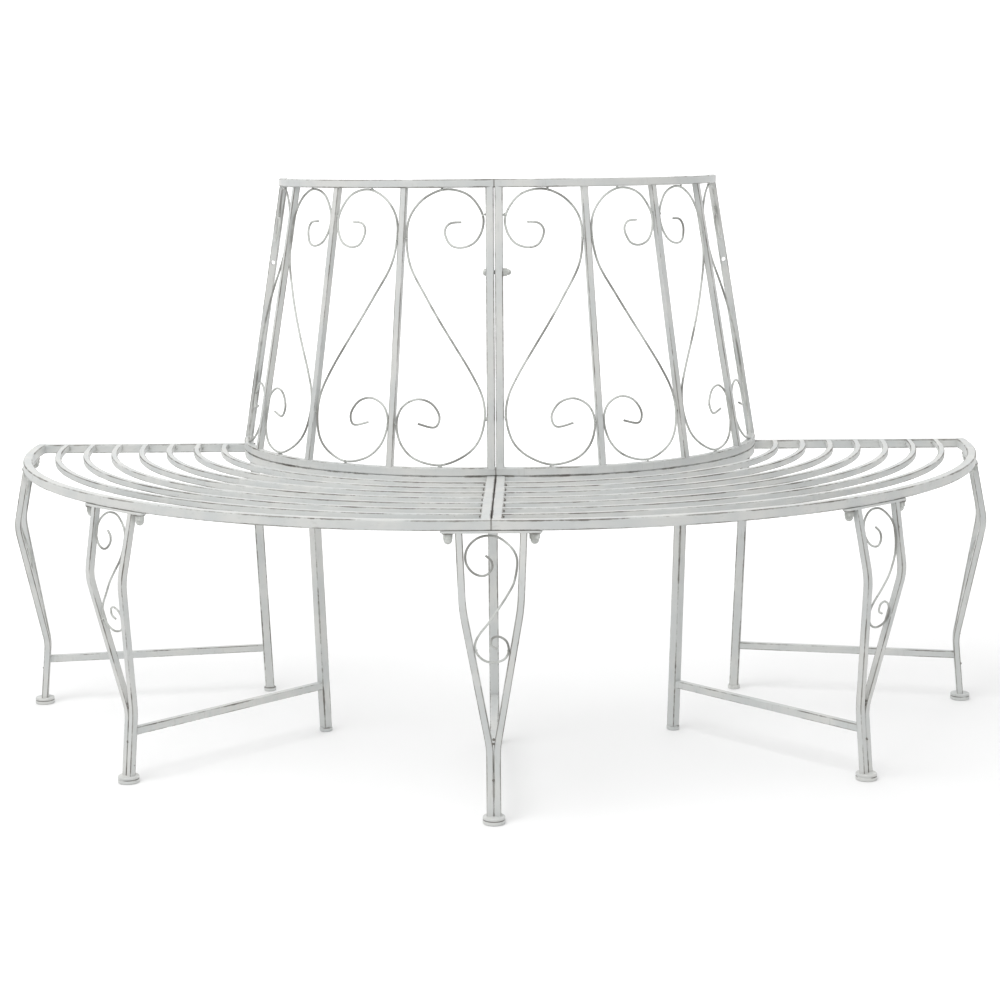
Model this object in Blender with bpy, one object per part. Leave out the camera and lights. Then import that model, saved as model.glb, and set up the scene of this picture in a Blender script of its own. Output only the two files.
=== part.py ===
"""Half-round garden bench for the foot of a tree: a steel seat in two quarter panels, a curved
backrest in two quarter panels that lean in as they rise, and five leg frames bolted underneath.

Metres, +Z up. The origin is on the ground under the middle of the bench's box. The round side
faces -Y and the flat side, which meets the other half of the tree, faces +Y.
"""
import bpy
import bmesh
from math import atan2, cos, pi, radians, sin, sqrt
from mathutils import Matrix, Vector

# ---- driving dimensions -------------------------------------------------------------------
GAP = 0.0003                  # clearance between pieces that touch
HALF_WIDTH = 0.800            # seam plane to the outer face of the rim
SEAT_DEPTH = 0.7745           # flat side to the outer face of the rim, at the seam
SEAT_TOP = 0.433
SEAT_TUBE = 0.015             # square tube of the rims, radial rails and back posts
RIM_CENTRE_X = 0.0458         # each quarter's rim turns about a point out from the seam...
RIM_CENTRE_IN = 0.0203        # ...and in from the flat side
INNER_HALF_WIDTH = 0.4374     # seam plane to the outer face of the inner rim and backrest foot
INNER_CENTRE_X = 0.0450       # the inner rim and the backrest turn about this point
SLAT_CENTRE_X = 0.0268        # the slats turn about this one, a little rounder than the rim
SLAT_COUNT = 7
SLAT_WIDTH = 0.010
SLAT_HEIGHT = 0.010
FIRST_SLAT = 0.4726           # centre of the innermost slat from the seam plane, at the flat side
SLAT_PITCH = 0.0458

TOP_HEIGHT = 0.885
TOP_HALF_WIDTH = 0.3679
BACK_TUBE = 0.013             # square tube of the backrest's rails and posts
BACK_BAR = 0.010              # solid square bar between them
# the backrest bars, in degrees round from the front about the panel's own centre: foot and top
BAR_ANGLES = [(18.1, 17.3), (41.1, 39.8), (64.3, 61.8)]
BOLT_HEIGHT = 0.743
HOLE_RADIUS = 0.0035

BACK_WIRE_RADIUS = 0.0018     # round wire of the backrest's scrolls
LEG_WIRE_RADIUS = 0.0016      # and of the legs' scrolls
LEG_BAR = 0.010               # solid square bar of the front legs
LEG_TOP = 0.415
PLATE_THICKNESS = 0.003
PLATE_LENGTH = 0.140
PLATE_WIDTH = 0.015
KNEE_OUT = 0.0148             # how far the knee's corner stands out past the rim
KNEE_REACH = 0.0182           # and the outer face of the bar there, once it is bent
# the front leg's path: half spread of its two bars, reach past the rim, height
LEG_PATH = [(0.0445, -0.0055, LEG_TOP), (0.0400, KNEE_OUT, 0.315),
            (0.0052, -0.0225, 0.107), (0.0052, -0.0127, 0.006)]
BEND_RADIUS = 0.080
FOOT_RADIUS = 0.016
FOOT_HEIGHT = 0.0105
POST_LEAN = 0.016             # the back post stands this much further in at the ground
POST_FOOT_RADIUS = 0.0105
POST_FOOT_HEIGHT = 0.006
STRETCHER = 0.012
STRETCHER_HEIGHT = 0.077
NUT_SPREAD = 0.0594           # cap nut from the middle of its plate
NUT_ACROSS = 0.013
NUT_HEIGHT = 0.0075
DOME_HEIGHT = 0.0075
STUD_RADIUS = 0.003

DEPTH = SEAT_DEPTH + KNEE_REACH
REAR = DEPTH / 2              # y of the flat side, so that the box is centred on the origin

# leg frames: name, where the frame meets the rim's outer face, where its back post stands
LEG_FRAMES = [
    ("far_left", (-0.7946, -0.1105), (-0.4207, -0.0352)),
    ("left", (-0.5596, -0.5734), (-0.2930, -0.3002)),
    ("centre", (0.0, -SEAT_DEPTH), (-0.0055, -0.3835)),
    ("right", (0.5596, -0.5734), (0.2930, -0.3002)),
    ("far_right", (0.7946, -0.1105), (0.4207, -0.0352)),
]


# ---- scene and helpers --------------------------------------------------------------------
for old in list(bpy.data.objects):
    bpy.data.objects.remove(old, do_unlink=True)

bench = bpy.data.collections.new("garden_bench")
cutters = bpy.data.collections.new("cutters")
for collection in (bench, cutters):
    bpy.context.scene.collection.children.link(collection)


def painted_steel(name, colour, roughness):
    material = bpy.data.materials.new(name)
    material.use_nodes = True
    shader = material.node_tree.nodes["Principled BSDF"]
    shader.inputs["Base Color"].default_value = (*colour, 1.0)
    shader.inputs["Roughness"].default_value = roughness
    shader.inputs["Metallic"].default_value = 0.0
    return material


FRAME_PAINT = painted_steel("frame_paint", (0.68, 0.70, 0.68), 0.55)
WIRE_PAINT = painted_steel("wire_paint", (0.52, 0.53, 0.51), 0.55)
NUT_PAINT = painted_steel("nut_paint", (0.60, 0.62, 0.60), 0.45)


def mesh_object(name, mesh, material, collection=bench, matrix=Matrix()):
    mesh.name = name
    mesh.materials.clear()
    mesh.materials.append(material)
    obj = bpy.data.objects.new(name, mesh)
    obj.matrix_world = matrix
    collection.objects.link(obj)
    return obj


def curve_to_object(name, curve_data, material, matrix=Matrix()):
    """A curve made into a welded mesh object."""
    curve = bpy.data.objects.new(name + "_curve", curve_data)
    bench.objects.link(curve)
    evaluated = curve.evaluated_get(bpy.context.evaluated_depsgraph_get())
    mesh = bpy.data.meshes.new_from_object(evaluated)
    bpy.data.objects.remove(curve, do_unlink=True)
    bm = bmesh.new()
    bm.from_mesh(mesh)
    bmesh.ops.remove_doubles(bm, verts=bm.verts, dist=0.00001)
    bmesh.ops.recalc_face_normals(bm, faces=bm.faces)
    bm.to_mesh(mesh)
    bm.free()
    return mesh_object(name, mesh, material, matrix=matrix)


def flat_piece(name, outlines, bottom, top, material, matrix=Matrix()):
    """A flat outline, with any holes, extruded from bottom to top."""
    data = bpy.data.curves.new(name, "CURVE")
    data.dimensions = "2D"
    data.fill_mode = "BOTH"
    data.extrude = (top - bottom) / 2
    for outline in outlines:
        spline = data.splines.new("POLY")
        spline.points.add(len(outline) - 1)
        for point, (x, y) in zip(spline.points, outline):
            point.co = (x, y, 0, 1)
        spline.use_cyclic_u = True
    lift = Matrix.Translation((0, 0, (bottom + top) / 2))
    return curve_to_object(name, data, material, matrix @ lift)


def box(name, size, centre, material, collection=bench, matrix=Matrix()):
    mesh = bpy.data.meshes.new(name)
    bm = bmesh.new()
    bmesh.ops.create_cube(bm, size=1.0, matrix=Matrix.Translation(centre) @ Matrix.Diagonal((*size, 1)))
    bm.to_mesh(mesh)
    bm.free()
    return mesh_object(name, mesh, material, collection, matrix)


def cylinder(name, radius, bottom, top, sides, material, collection=bench, matrix=Matrix()):
    mesh = bpy.data.meshes.new(name)
    bm = bmesh.new()
    bmesh.ops.create_cone(bm, cap_ends=True, segments=sides, radius1=radius,
                          radius2=radius, depth=top - bottom,
                          matrix=Matrix.Translation((0, 0, (bottom + top) / 2)))
    bm.to_mesh(mesh)
    bm.free()
    return mesh_object(name, mesh, material, collection, matrix)


def boolean(target, tool, operation):
    """Join or cut, applied at once; the tool is removed."""
    modifier = target.modifiers.new(operation, "BOOLEAN")
    modifier.operation = operation
    modifier.object = tool
    modifier.solver = "EXACT"
    bpy.context.view_layer.update()
    evaluated = target.evaluated_get(bpy.context.evaluated_depsgraph_get())
    result = bpy.data.meshes.new_from_object(evaluated)
    target.modifiers.remove(modifier)
    target.data = result
    bpy.data.objects.remove(tool, do_unlink=True)
    return target


def arc(centre, radius, start, end, steps):
    """Points of an arc in plan; angle 0 is straight to the front (-Y), positive to the right."""
    points = []
    for i in range(steps + 1):
        angle = start + (end - start) * i / steps
        points.append((centre[0] + radius * sin(angle), centre[1] - radius * cos(angle)))
    return points


def rounded(path, radius, steps=3):
    """A 2D path whose inner corners are swapped for short arcs."""
    result = [path[0]]
    for before, corner, after in zip(path, path[1:], path[2:]):
        c = Vector(corner)
        into = (Vector(before) - c).normalized()
        out = (Vector(after) - c).normalized()
        half = into.angle(out) / 2
        if half > radians(89.5):
            result.append(corner)
            continue
        reach = min(radius * cos(half) / sin(half), 0.40 * (Vector(before) - c).length,
                    0.40 * (Vector(after) - c).length)
        for i in range(steps + 1):
            t = i / steps
            point = (1 - t) ** 2 * (c + into * reach) + 2 * t * (1 - t) * c + t ** 2 * (c + out * reach)
            result.append(tuple(point))
    result.append(path[-1])
    return result


def side_sign(side):
    return -1 if side == "left" else 1


def mirrored(points, sign):
    return [(sign * x, y) for x, y in points]


# ---- seat: two quarter frames, each with seven slats ----------------------------------------
SEAM_GAP = 0.0005             # half the gap between the two quarters
rim_centre = (RIM_CENTRE_X, REAR - RIM_CENTRE_IN)
inner_centre = (INNER_CENTRE_X, REAR)
slat_centre = (SLAT_CENTRE_X, REAR)
RIM_RADIUS = HALF_WIDTH - RIM_CENTRE_X
INNER_RADIUS = INNER_HALF_WIDTH - INNER_CENTRE_X


def quarter_ring(centre, radius, seam_x, rear_y, steps):
    """An arc about centre from the plane x = seam_x to the plane y = rear_y."""
    start = -sin_angle(centre[0] - seam_x, radius)
    end = pi / 2 + sin_angle(rear_y - centre[1], radius)
    return arc(centre, radius, start, end, steps)


def sin_angle(offset, radius):
    return atan2(offset, sqrt(radius * radius - offset * offset))


def seat_frame(side):
    sign = side_sign(side)
    outer = quarter_ring(rim_centre, RIM_RADIUS, SEAM_GAP, REAR, 24)
    back = quarter_ring(inner_centre, INNER_RADIUS - SEAT_TUBE, SEAM_GAP, REAR, 20)
    rim_hole = quarter_ring(rim_centre, RIM_RADIUS - SEAT_TUBE, SEAM_GAP + SEAT_TUBE,
                            REAR - SEAT_TUBE, 24)
    back_hole = quarter_ring(inner_centre, INNER_RADIUS, SEAM_GAP + SEAT_TUBE, REAR - SEAT_TUBE, 20)
    outlines = [mirrored(outer + back[::-1], sign), mirrored(rim_hole + back_hole[::-1], sign)]
    flat_piece("seat_frame_" + side, outlines, SEAT_TOP - SEAT_TUBE, SEAT_TOP, FRAME_PAINT)


def seat_slat(side, number):
    radius = FIRST_SLAT + SLAT_PITCH * (number - 1) - SLAT_CENTRE_X
    seam_x = SEAM_GAP + SEAT_TUBE + GAP
    rear_y = REAR - SEAT_TUBE - GAP
    outer = quarter_ring(slat_centre, radius + SLAT_WIDTH / 2, seam_x, rear_y, 14)
    inner = quarter_ring(slat_centre, radius - SLAT_WIDTH / 2, seam_x, rear_y, 14)
    outline = mirrored(outer + inner[::-1], side_sign(side))
    flat_piece(f"seat_slat_{side}_{number}", [outline], SEAT_TOP - SLAT_HEIGHT, SEAT_TOP, FRAME_PAINT)


for side in ("left", "right"):
    seat_frame(side)
    for number in range(1, SLAT_COUNT + 1):
        seat_slat(side, number)


# ---- backrest: two quarter frames on the seat's inner rim, each with four scrolls ------------
BACK_FOOT = SEAT_TOP + GAP
LOW_RAIL_TOP = BACK_FOOT + BACK_TUBE
HIGH_RAIL_BOTTOM = TOP_HEIGHT - BACK_TUBE
LOW_RADIUS = INNER_RADIUS - BACK_TUBE / 2
HIGH_RADIUS = TOP_HALF_WIDTH - INNER_CENTRE_X - BACK_TUBE / 2
WELD_BITE = 0.004             # how far a post or bar runs into the rails it is welded to


def back_radius(height):
    """Radius of the backrest's middle surface, which leans in as it rises."""
    share = (height - LOW_RAIL_TOP) / (HIGH_RAIL_BOTTOM - LOW_RAIL_TOP)
    return LOW_RADIUS + (HIGH_RADIUS - LOW_RADIUS) * share


def seam_angle(height, off_seam):
    """Where the middle surface comes to a given distance from the seam."""
    return -sin_angle(INNER_CENTRE_X - off_seam, back_radius(height))


def end_angle(height, off_rear):
    return pi / 2 - sin_angle(off_rear, back_radius(height))


def back_point(angle, height, sign):
    radius = back_radius(height)
    return Vector((sign * (INNER_CENTRE_X + radius * sin(angle)), REAR - radius * cos(angle), height))


def upright(name, angle_at, turn, sign, width, bottom, top):
    """A square bar between the rails. angle_at gives its place on the panel at a height."""
    low = back_point(angle_at(LOW_RAIL_TOP), LOW_RAIL_TOP, sign)
    high = back_point(angle_at(HIGH_RAIL_BOTTOM), HIGH_RAIL_BOTTOM, sign)
    slope = (high - low) / (high.z - low.z)
    obj = box(name, (width, width, top - bottom), (0, 0, (top - bottom) / 2), FRAME_PAINT)
    lean = Matrix.Identity(4)
    lean[0][2] = slope.x
    lean[1][2] = slope.y
    foot = Matrix.Translation(low + slope * (bottom - low.z))
    obj.data.transform(foot @ lean @ Matrix.Rotation(turn, 4, "Z"))
    return obj


def curved_rail(name, radius, bottom, top, sign):
    outer = quarter_ring(inner_centre, radius + BACK_TUBE / 2, SEAM_GAP, REAR, 20)
    inner = quarter_ring(inner_centre, radius - BACK_TUBE / 2, SEAM_GAP, REAR, 20)
    return flat_piece(name, [mirrored(outer + inner[::-1], sign)], bottom, top, FRAME_PAINT)


def drill(target, centre, axis, length, radius):
    """A round hole along axis."""
    tool = cylinder("drill", radius, -length / 2, length / 2, 12, FRAME_PAINT, cutters)
    tool.matrix_world = Matrix.Translation(centre) @ axis.to_track_quat("Z", "Y").to_matrix().to_4x4()
    tool.hide_render = True
    tool.display_type = "WIRE"
    boolean(target, tool, "DIFFERENCE")


def seam_post_angle(height):
    return seam_angle(height, SEAM_GAP + BACK_TUBE / 2)


def end_post_angle(height):
    return end_angle(height, BACK_TUBE / 2)


def bar_angle(number, height):
    foot, top = BAR_ANGLES[number]
    share = (height - LOW_RAIL_TOP) / (HIGH_RAIL_BOTTOM - LOW_RAIL_TOP)
    return radians(foot + (top - foot) * share)


def backrest_frame(side):
    sign = side_sign(side)
    frame = curved_rail("backrest_frame_" + side, LOW_RADIUS, BACK_FOOT, LOW_RAIL_TOP, sign)
    top_rail = curved_rail("top_rail", HIGH_RADIUS, HIGH_RAIL_BOTTOM, TOP_HEIGHT, sign)
    boolean(frame, top_rail, "UNION")
    bottom = LOW_RAIL_TOP - WELD_BITE
    top = HIGH_RAIL_BOTTOM + WELD_BITE
    post = BACK_TUBE - 0.0002
    boolean(frame, upright("post", seam_post_angle, 0, sign, post, bottom, top), "UNION")
    boolean(frame, upright("post", end_post_angle, 0, sign, post, bottom, top), "UNION")
    for number in range(len(BAR_ANGLES)):
        turn = sign * bar_angle(number, TOP_HEIGHT / 2)
        bar = upright("bar", lambda height: bar_angle(number, height), turn, sign, BACK_BAR, bottom, top)
        boolean(frame, bar, "UNION")
    drill(frame, back_point(seam_post_angle(BOLT_HEIGHT), BOLT_HEIGHT, sign), Vector((1, 0, 0)),
          0.02, HOLE_RADIUS)
    drill(frame, back_point(end_post_angle(BOLT_HEIGHT), BOLT_HEIGHT, sign), Vector((0, 1, 0)),
          0.03, HOLE_RADIUS)


# One scroll in a bay one unit wide and one unit high: seam side at 0, bottom rail at 0.
BACK_SCROLL = [(0.29, 0.88), (0.44, 0.875), (0.50, 0.845), (0.43, 0.80), (0.29, 0.788), (0.13, 0.805),
               (0.03, 0.85), (0.02, 0.905), (0.15, 0.965), (0.33, 0.993), (0.56, 0.996), (0.80, 0.962),
               (0.96, 0.90), (0.99, 0.82), (0.92, 0.72), (0.71, 0.61), (0.53, 0.52), (0.345, 0.43),
               (0.16, 0.335), (0.035, 0.25), (0.01, 0.17), (0.08, 0.088), (0.24, 0.035), (0.49, 0.004),
               (0.76, 0.023), (0.93, 0.075), (0.995, 0.15), (0.94, 0.21), (0.78, 0.24), (0.61, 0.227),
               (0.51, 0.18), (0.56, 0.14), (0.75, 0.152)]


def wire(name, points, radius, matrix=Matrix()):
    data = bpy.data.curves.new(name, "CURVE")
    data.dimensions = "3D"
    data.bevel_depth = radius
    data.bevel_resolution = 1
    data.use_fill_caps = True
    spline = data.splines.new("POLY")
    spline.points.add(len(points) - 1)
    for spline_point, point in zip(spline.points, points):
        spline_point.co = (*point, 1)
    return curve_to_object(name, data, WIRE_PAINT, matrix)


def backrest_scroll(side, bay):
    """Bay 1 is beside the seam. Every second scroll is turned over."""
    room = BACK_WIRE_RADIUS + GAP
    points = []
    for across, up in BACK_SCROLL:
        height = LOW_RAIL_TOP + room + (HIGH_RAIL_BOTTOM - LOW_RAIL_TOP - 2 * room) * up
        to_bar = (BACK_BAR / 2 + room) / back_radius(height)
        if bay == 1:
            start = seam_angle(height, SEAM_GAP + BACK_TUBE + room)
        else:
            start = bar_angle(bay - 2, height) + to_bar
        if bay == len(BAR_ANGLES) + 1:
            end = end_angle(height, BACK_TUBE + room)
        else:
            end = bar_angle(bay - 1, height) - to_bar
        share = across if bay % 2 else 1 - across
        points.append(back_point(start + (end - start) * share, height, side_sign(side)))
    wire(f"backrest_scroll_{side}_{bay}", points, BACK_WIRE_RADIUS)


for side in ("left", "right"):
    backrest_frame(side)
    for bay in range(1, len(BAR_ANGLES) + 2):
        backrest_scroll(side, bay)


def lathe(name, profile, sides, material, matrix=Matrix(), collection=bench):
    """A closed solid turned about Z from (radius, height) points; both ends are on the axis."""
    mesh = bpy.data.meshes.new(name)
    bm = bmesh.new()
    verts = [bm.verts.new((radius, 0, height)) for radius, height in profile]
    edges = [bm.edges.new(pair) for pair in zip(verts, verts[1:])]
    bmesh.ops.spin(bm, geom=verts + edges, cent=(0, 0, 0), axis=(0, 0, 1), angle=2 * pi, steps=sides,
                   use_merge=True)
    bmesh.ops.remove_doubles(bm, verts=bm.verts, dist=0.00001)
    bmesh.ops.recalc_face_normals(bm, faces=bm.faces)
    bm.to_mesh(mesh)
    bm.free()
    return mesh_object(name, mesh, material, collection, matrix)


# the bolt that ties the two backrest panels together at the seam
bolt_place = Matrix.Translation((0, back_point(seam_post_angle(BOLT_HEIGHT), BOLT_HEIGHT, 1).y,
                                 BOLT_HEIGHT)) @ Matrix.Rotation(pi / 2, 4, "Y")
BOLT_FACE = SEAM_GAP + BACK_TUBE + GAP
lathe("seam_bolt", [(0, -BOLT_FACE - 0.0045), (0.0035, -BOLT_FACE - 0.004),
                    (0.0055, -BOLT_FACE - 0.002), (0.0055, -BOLT_FACE), (0.003, -BOLT_FACE),
                    (0.003, BOLT_FACE + 0.005), (0, BOLT_FACE + 0.005)], 12, NUT_PAINT, bolt_place)
bore = 0.003 + GAP
lathe("seam_nut", [(bore, BOLT_FACE), (0.0062, BOLT_FACE), (0.0062, BOLT_FACE + 0.0055),
                   (0.0048, BOLT_FACE + 0.0098), (0.002, BOLT_FACE + 0.0120), (0, BOLT_FACE + 0.0124),
                   (0, BOLT_FACE + 0.0060), (bore, BOLT_FACE + 0.0060), (bore, BOLT_FACE)],
      12, NUT_PAINT, bolt_place)


# ---- five leg frames: front V with foot, back post, stretcher, scroll and two cap nuts --------
LEG_SCROLL = [(-0.008, 0.3845), (0.000, 0.3770), (0.001, 0.3675), (-0.006, 0.3590), (-0.016, 0.3575),
              (-0.027, 0.3630), (-0.0345, 0.3745), (-0.0350, 0.3880), (-0.029, 0.3995),
              (-0.018, 0.4080), (-0.005, 0.4110), (0.010, 0.4085), (0.025, 0.3975), (0.0335, 0.3850),
              (0.0350, 0.3705), (0.0305, 0.3480), (0.021, 0.3305), (0.0085, 0.3115),
              (-0.0045, 0.2925), (-0.017, 0.2760), (-0.0230, 0.2630), (-0.0220, 0.2500),
              (-0.0130, 0.2385), (0.0005, 0.2343), (0.0155, 0.2385), (0.0240, 0.2500),
              (0.0200, 0.2650), (0.0095, 0.2725), (0.0000, 0.2695), (-0.0010, 0.2590),
              (0.0070, 0.2545)]


def square_sweep(name, path, width, matrix=Matrix()):
    """A solid square bar along a 3D path of (outward, sideways, height) points."""
    mesh = bpy.data.meshes.new(name)
    bm = bmesh.new()
    rings = []
    for i, point in enumerate(path):
        before = Vector(path[max(i - 1, 0)])
        after = Vector(path[min(i + 1, len(path) - 1)])
        along = (after - before).normalized()
        if i in (0, len(path) - 1):
            along = Vector((0, 0, -1))
        front = (Vector((1, 0, 0)) - along * along.x).normalized()
        across = along.cross(front)
        rings.append([bm.verts.new(Vector(point) + (front * a + across * b) * width / 2)
                      for a, b in ((1, 1), (1, -1), (-1, -1), (-1, 1))])
    for low, high in zip(rings, rings[1:]):
        for i in range(4):
            bm.faces.new((low[i], low[(i + 1) % 4], high[(i + 1) % 4], high[i]))
    bm.faces.new(rings[0])
    bm.faces.new(rings[-1])
    bmesh.ops.recalc_face_normals(bm, faces=bm.faces)
    bm.to_mesh(mesh)
    bm.free()
    return mesh_object(name, mesh, FRAME_PAINT, matrix=matrix)


def leg_path(sign):
    corners = [(outward, sign * spread, height) for spread, outward, height in LEG_PATH]
    return rounded(corners, BEND_RADIUS)


def leg_at(height):
    """Where the front leg's bars are at a height: how far past the rim, and their half spread."""
    path = leg_path(1)
    for high, low in zip(path, path[1:]):
        if low[2] <= height <= high[2]:
            share = (height - low[2]) / (high[2] - low[2])
            return [low[i] + (high[i] - low[i]) * share for i in (0, 1)]
    return path[-1][:2] if height < path[-1][2] else path[0][:2]


def prism(name, corners, half_width, matrix):
    """A closed solid: (outward, height) corners, drawn out to both sides."""
    mesh = bpy.data.meshes.new(name)
    bm = bmesh.new()
    near = [bm.verts.new((x, -half_width, z)) for x, z in corners]
    far = [bm.verts.new((x, half_width, z)) for x, z in corners]
    count = len(corners)
    for i in range(count):
        bm.faces.new((near[i], near[(i + 1) % count], far[(i + 1) % count], far[i]))
    bm.faces.new(near)
    bm.faces.new(far)
    bmesh.ops.recalc_face_normals(bm, faces=bm.faces)
    bm.to_mesh(mesh)
    bm.free()
    return mesh_object(name, mesh, FRAME_PAINT, matrix=matrix)


PLATE_TOP = SEAT_TOP - SEAT_TUBE - GAP
PLATE_BOTTOM = PLATE_TOP - PLATE_THICKNESS
POST_PLATE_LENGTH = 0.046
DISC_PROFILE = [(0, 0), (FOOT_RADIUS - 0.0012, 0), (FOOT_RADIUS, 0.0015), (FOOT_RADIUS, FOOT_HEIGHT - 0.0022),
                (FOOT_RADIUS - 0.0012, FOOT_HEIGHT - 0.0016), (FOOT_RADIUS - 0.0012, FOOT_HEIGHT), (0, FOOT_HEIGHT)]


def front_leg(name, place):
    """Two square bars from a bolted plate, meeting above a round foot."""
    leg = square_sweep("front_leg_" + name, leg_path(1), LEG_BAR)
    boolean(leg, square_sweep("bar", leg_path(-1), LEG_BAR), "UNION")
    centre = (-SEAT_TUBE / 2, 0, (PLATE_TOP + PLATE_BOTTOM) / 2)
    plate = box("plate", (PLATE_WIDTH, PLATE_LENGTH, PLATE_THICKNESS), centre, FRAME_PAINT)
    boolean(leg, plate, "UNION")
    disc = lathe("disc", DISC_PROFILE, 20, FRAME_PAINT, Matrix.Translation((LEG_PATH[-1][1], 0, 0)))
    boolean(leg, disc, "UNION")
    for sign in (-1, 1):
        drill(leg, Vector((-SEAT_TUBE / 2, sign * NUT_SPREAD, PLATE_BOTTOM)), Vector((0, 0, 1)), 0.02,
              STUD_RADIUS + GAP)
    leg.matrix_world = place


def back_post(name, place, distance):
    """A square post under the inner rim, leaning in as it goes down, with a plate and a glide."""
    top = PLATE_BOTTOM + 0.001
    bottom = POST_FOOT_HEIGHT - 0.001
    lean = POST_LEAN / PLATE_BOTTOM
    half = SEAT_TUBE / 2
    low = -distance - POST_LEAN + lean * bottom
    high = -distance - POST_LEAN + lean * top
    post = prism("back_post_" + name, [(low - half, bottom), (low + half, bottom), (high + half, top),
                                       (high - half, top)], half, Matrix())
    plate = box("plate", (PLATE_WIDTH - 0.0004, POST_PLATE_LENGTH, PLATE_THICKNESS),
                (-distance, 0, (PLATE_TOP + PLATE_BOTTOM) / 2), FRAME_PAINT)
    boolean(post, plate, "UNION")
    glide = lathe("glide", [(0, 0), (POST_FOOT_RADIUS - 0.001, 0), (POST_FOOT_RADIUS, 0.001),
                            (POST_FOOT_RADIUS, POST_FOOT_HEIGHT), (0, POST_FOOT_HEIGHT)], 16,
                  FRAME_PAINT, Matrix.Translation((-distance - POST_LEAN, 0, 0)))
    boolean(post, glide, "UNION")
    post.matrix_world = place


def stretcher(name, place, distance):
    low = STRETCHER_HEIGHT - STRETCHER / 2
    high = STRETCHER_HEIGHT + STRETCHER / 2
    lean = POST_LEAN / PLATE_BOTTOM
    post_face = -distance - POST_LEAN + SEAT_TUBE / 2 + GAP
    # the stretcher meets the leg a little out of square, so it stops short by its own skew
    front_low = leg_at(low)[0] - LEG_BAR / 2 - 4 * GAP
    front_high = leg_at(high)[0] - LEG_BAR / 2 - 4 * GAP
    prism("stretcher_" + name, [(post_face + lean * low, low), (front_low, low), (front_high, high),
                                (post_face + lean * high, high)], STRETCHER / 2, place)


def leg_scroll(name, place):
    points = []
    for across, height in LEG_SCROLL:
        reach, spread = leg_at(height)
        # the wire just touches the bars, which are a little wider across on the slant
        room = spread - 1.03 * LEG_BAR / 2 - LEG_WIRE_RADIUS - GAP
        points.append((reach, min(max(across, -room), room), height))
    wire("leg_scroll_" + name, points, LEG_WIRE_RADIUS, place)


def cap_nut(name, place):
    """A domed hexagon nut on its stud, which runs up through the plate into the rim."""
    base = PLATE_BOTTOM - GAP
    radius = NUT_ACROSS / sqrt(3)
    nut = cylinder("cap_nut_" + name, radius, base - NUT_HEIGHT, base, 6, NUT_PAINT)
    dome = [(0, -NUT_HEIGHT - DOME_HEIGHT)]
    for i in range(1, 4):
        dome.append((0.006 * sin(i * pi / 6), -NUT_HEIGHT - 0.0015 - (DOME_HEIGHT - 0.0015) * cos(i * pi / 6)))
    dome += [(0.006, -NUT_HEIGHT + 0.001), (0, -NUT_HEIGHT + 0.001)]
    boolean(nut, lathe("dome", dome, 12, NUT_PAINT, Matrix.Translation((0, 0, base))), "UNION")
    stud = cylinder("stud", STUD_RADIUS, base - 0.001, PLATE_TOP + GAP + 0.006, 12, NUT_PAINT)
    boolean(nut, stud, "UNION")
    nut.matrix_world = place


def placed(outward, rim_point):
    """Turns (outward, sideways, height), measured from the rim, into the bench's own frame."""
    return Matrix(((outward.x, -outward.y, 0, rim_point[0]),
                   (outward.y, outward.x, 0, rim_point[1] + REAR),
                   (0, 0, 1, 0), (0, 0, 0, 1)))


def square_to_rim(rim_point):
    """The way out from the rim's arc at a point; at the seam it is straight to the front."""
    x, y = rim_point
    if x == 0:
        return Vector((0, -1))
    centre = Vector((RIM_CENTRE_X if x > 0 else -RIM_CENTRE_X, -RIM_CENTRE_IN))
    return (Vector((x, y)) - centre).normalized()


for name, rim_point, post_point in LEG_FRAMES:
    across = Vector(rim_point) - Vector(post_point)
    frame_place = placed(across.normalized(), rim_point)
    leg_place = placed(square_to_rim(rim_point), rim_point)
    front_leg(name, leg_place)
    leg_scroll(name, leg_place)
    back_post(name, frame_place, across.length)
    stretcher(name, frame_place, across.length)
    for sign, end in ((-1, "a"), (1, "b")):
        spot = leg_place @ Vector((-SEAT_TUBE / 2, sign * NUT_SPREAD, 0))
        turn = leg_place.to_quaternion().to_matrix().to_4x4()
        cap_nut(name + "_" + end, Matrix.Translation(spot) @ turn)
        frame = bpy.data.objects["seat_frame_" + ("left" if spot.x < 0 else "right")]
        hole_depth = 0.0065
        drill(frame, Vector((spot.x, spot.y, SEAT_TOP - SEAT_TUBE)), Vector((0, 0, 1)),
              2 * hole_depth, STUD_RADIUS + GAP)
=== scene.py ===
"""A half-round garden bench for the foot of a tree: the finished look of every painted steel piece.

Metres, +Z up. The bench's flat side faces +Y. Each section makes one kind of piece, in the order in
which the bench goes together, and ends by saying which CAD nodes the piece stands for.
"""
import random
from math import asin, cos, pi, radians, sin

import bmesh
import bpy
from mathutils import Matrix, Vector


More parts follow.
